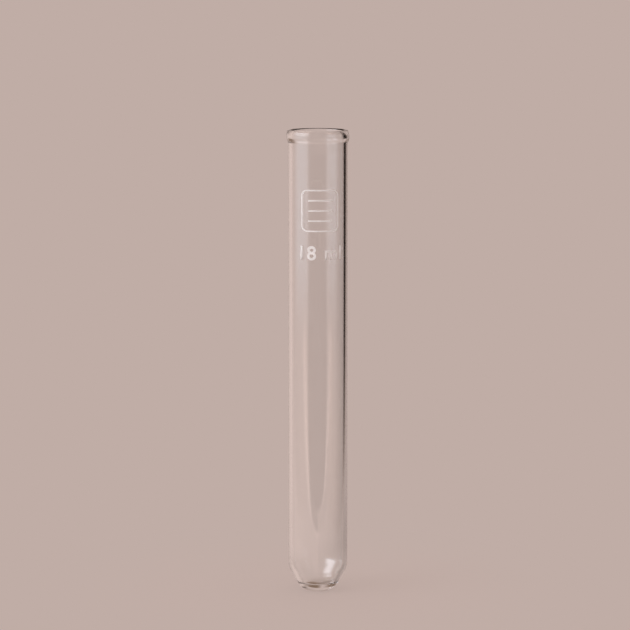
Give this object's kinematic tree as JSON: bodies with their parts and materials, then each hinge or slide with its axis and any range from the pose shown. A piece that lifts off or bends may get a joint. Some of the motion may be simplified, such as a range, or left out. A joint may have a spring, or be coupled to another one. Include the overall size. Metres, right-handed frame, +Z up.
{
  "type": "test tube",
  "caption": "Test tube of clear glass with a tapered and slightly flattened bottom, a beaded rim and a white fired-enamel writing panel, for holding, mixing and heating small samples.",
  "frame": {"origin": "middle of the bottom's lowest face, on the tube's axis", "axes": "+Z up along the tube's axis towards the mouth; -Y is the front, where the writing panel is; +X is to the right seen from the front"},
  "size_m": [0.0168, 0.0168, 0.125],
  "materials": {
    "clear_glass": "clear, drawn and fire-polished",
    "white_enamel": "white, screen-printed and fired, satin"
  },
  "bodies": {
    "root": {"glass_tube": "clear_glass", "panel_frame": "white_enamel", "panel_rules": "white_enamel"}
  },
  "joints": []
}
